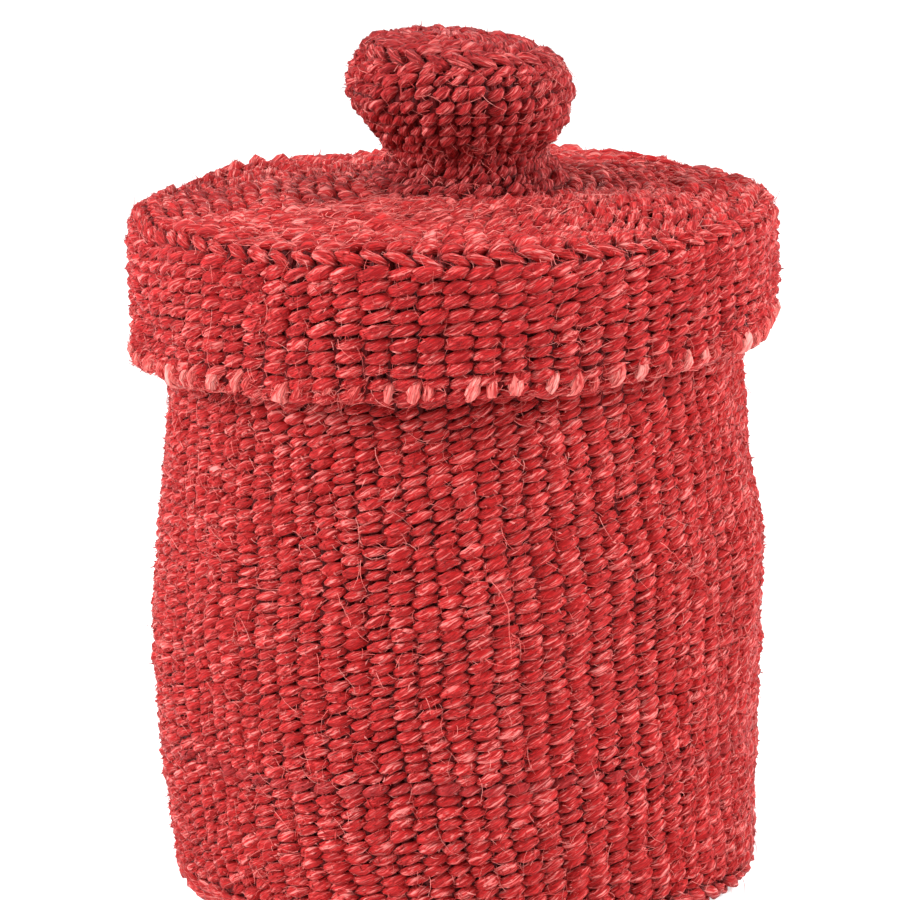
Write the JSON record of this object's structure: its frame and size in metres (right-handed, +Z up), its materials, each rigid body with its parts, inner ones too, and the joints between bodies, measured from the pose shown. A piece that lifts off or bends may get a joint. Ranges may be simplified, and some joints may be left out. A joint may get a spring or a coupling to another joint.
{
  "type": "lidded sisal basket",
  "caption": "Round storage basket of twined red sisal with gently bellied walls and a deep-skirted lid that lifts off by a turned knob.",
  "frame": {"origin": "middle of the underside of the base, on the surface that the basket stands on", "axes": "+Z up along the axis of the basket and its lid; X and Y are level and alike, since the basket is round"},
  "size_m": [0.1604, 0.1604, 0.215],
  "materials": {
    "dyed_red_sisal": "matt twined plant fibre, dyed red",
    "deep_red_sisal": "matt twined plant fibre, dyed a deeper red",
    "pale_cord_ends": "matt fibre ends, pale pinkish red"
  },
  "bodies": {
    "basket": {"base_start_cords": "deep_red_sisal", "base_weave": "dyed_red_sisal", "base_turn_row": "deep_red_sisal", "wall_weave": "dyed_red_sisal", "rim_row": "deep_red_sisal"},
    "lid": {"lid_edge_ends": "pale_cord_ends", "lid_skirt_weave": "dyed_red_sisal", "lid_shoulder_strand_1": "deep_red_sisal", "lid_shoulder_strand_2": "deep_red_sisal", "lid_top_weave": "dyed_red_sisal", "knob_neck_weave": "dyed_red_sisal", "knob_side_weave": "dyed_red_sisal", "knob_ridge_strand_1": "deep_red_sisal", "knob_ridge_strand_2": "deep_red_sisal", "knob_crown_weave": "dyed_red_sisal", "knob_start_cords": "deep_red_sisal"}
  },
  "joints": [
    {"name": "lid_lift", "type": "slide", "parent": "basket", "child": "lid", "axis": [0, 0, 1], "range_m": [0, 0.1]}
  ]
}
